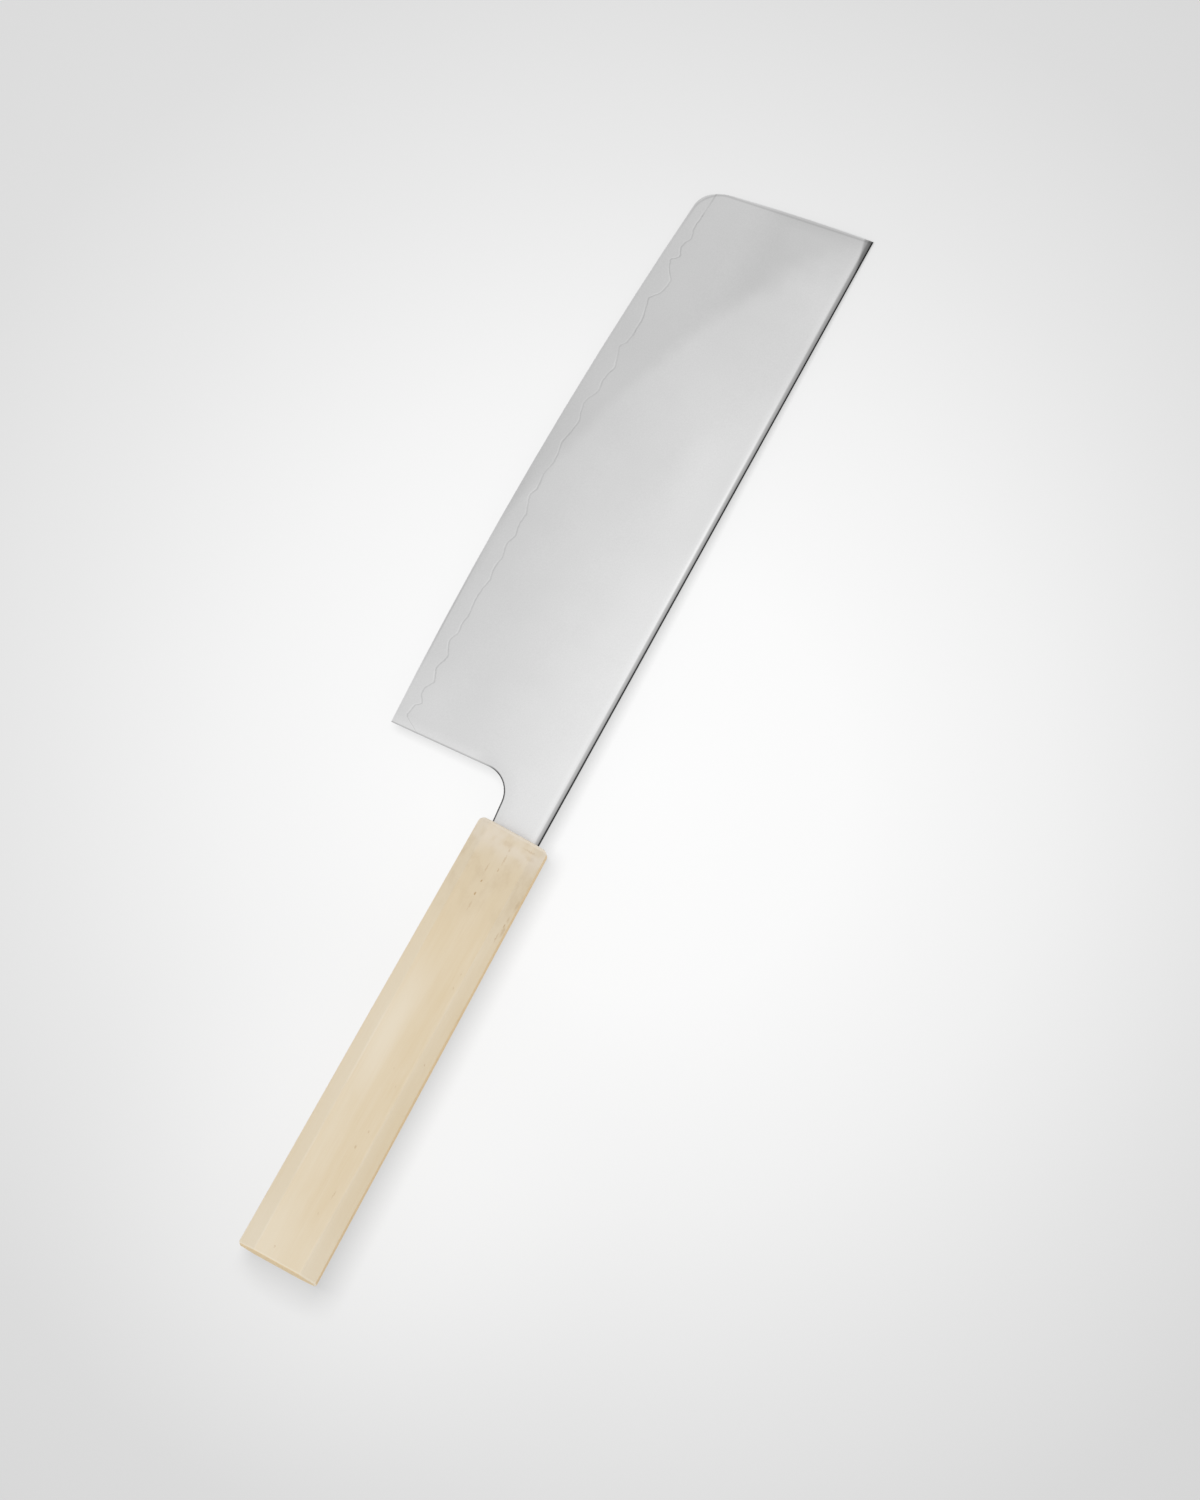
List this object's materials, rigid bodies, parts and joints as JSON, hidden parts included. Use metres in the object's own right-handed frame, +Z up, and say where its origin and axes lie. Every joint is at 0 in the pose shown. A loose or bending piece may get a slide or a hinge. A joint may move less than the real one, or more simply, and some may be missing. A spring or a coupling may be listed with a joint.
{
  "type": "nakiri knife",
  "caption": "Straight-edged vegetable knife with a tall laminated blade, a wavy lamination line and a tapered octagonal wooden handle, lying on its side.",
  "frame": {"origin": "on the table, under the middle of the box of the knife as it lies on its right side", "axes": "+X along the knife towards the tip, +Y towards the cutting edge, +Z up from the table, out of the blade's left face"},
  "size_m": [0.316, 0.0562, 0.0241],
  "materials": {
    "core_steel": "satin",
    "cladding_steel": "satin",
    "handle_wood": "matte",
    "dowel_wood": "matte",
    "seal_resin": "satin"
  },
  "bodies": {
    "root": {"core_steel": "core_steel", "cladding_left": "cladding_steel", "cladding_right": "cladding_steel", "handle": "handle_wood", "tang_dowel_left": "dowel_wood", "tang_dowel_right": "dowel_wood", "mouth_seal": "seal_resin"}
  },
  "joints": []
}
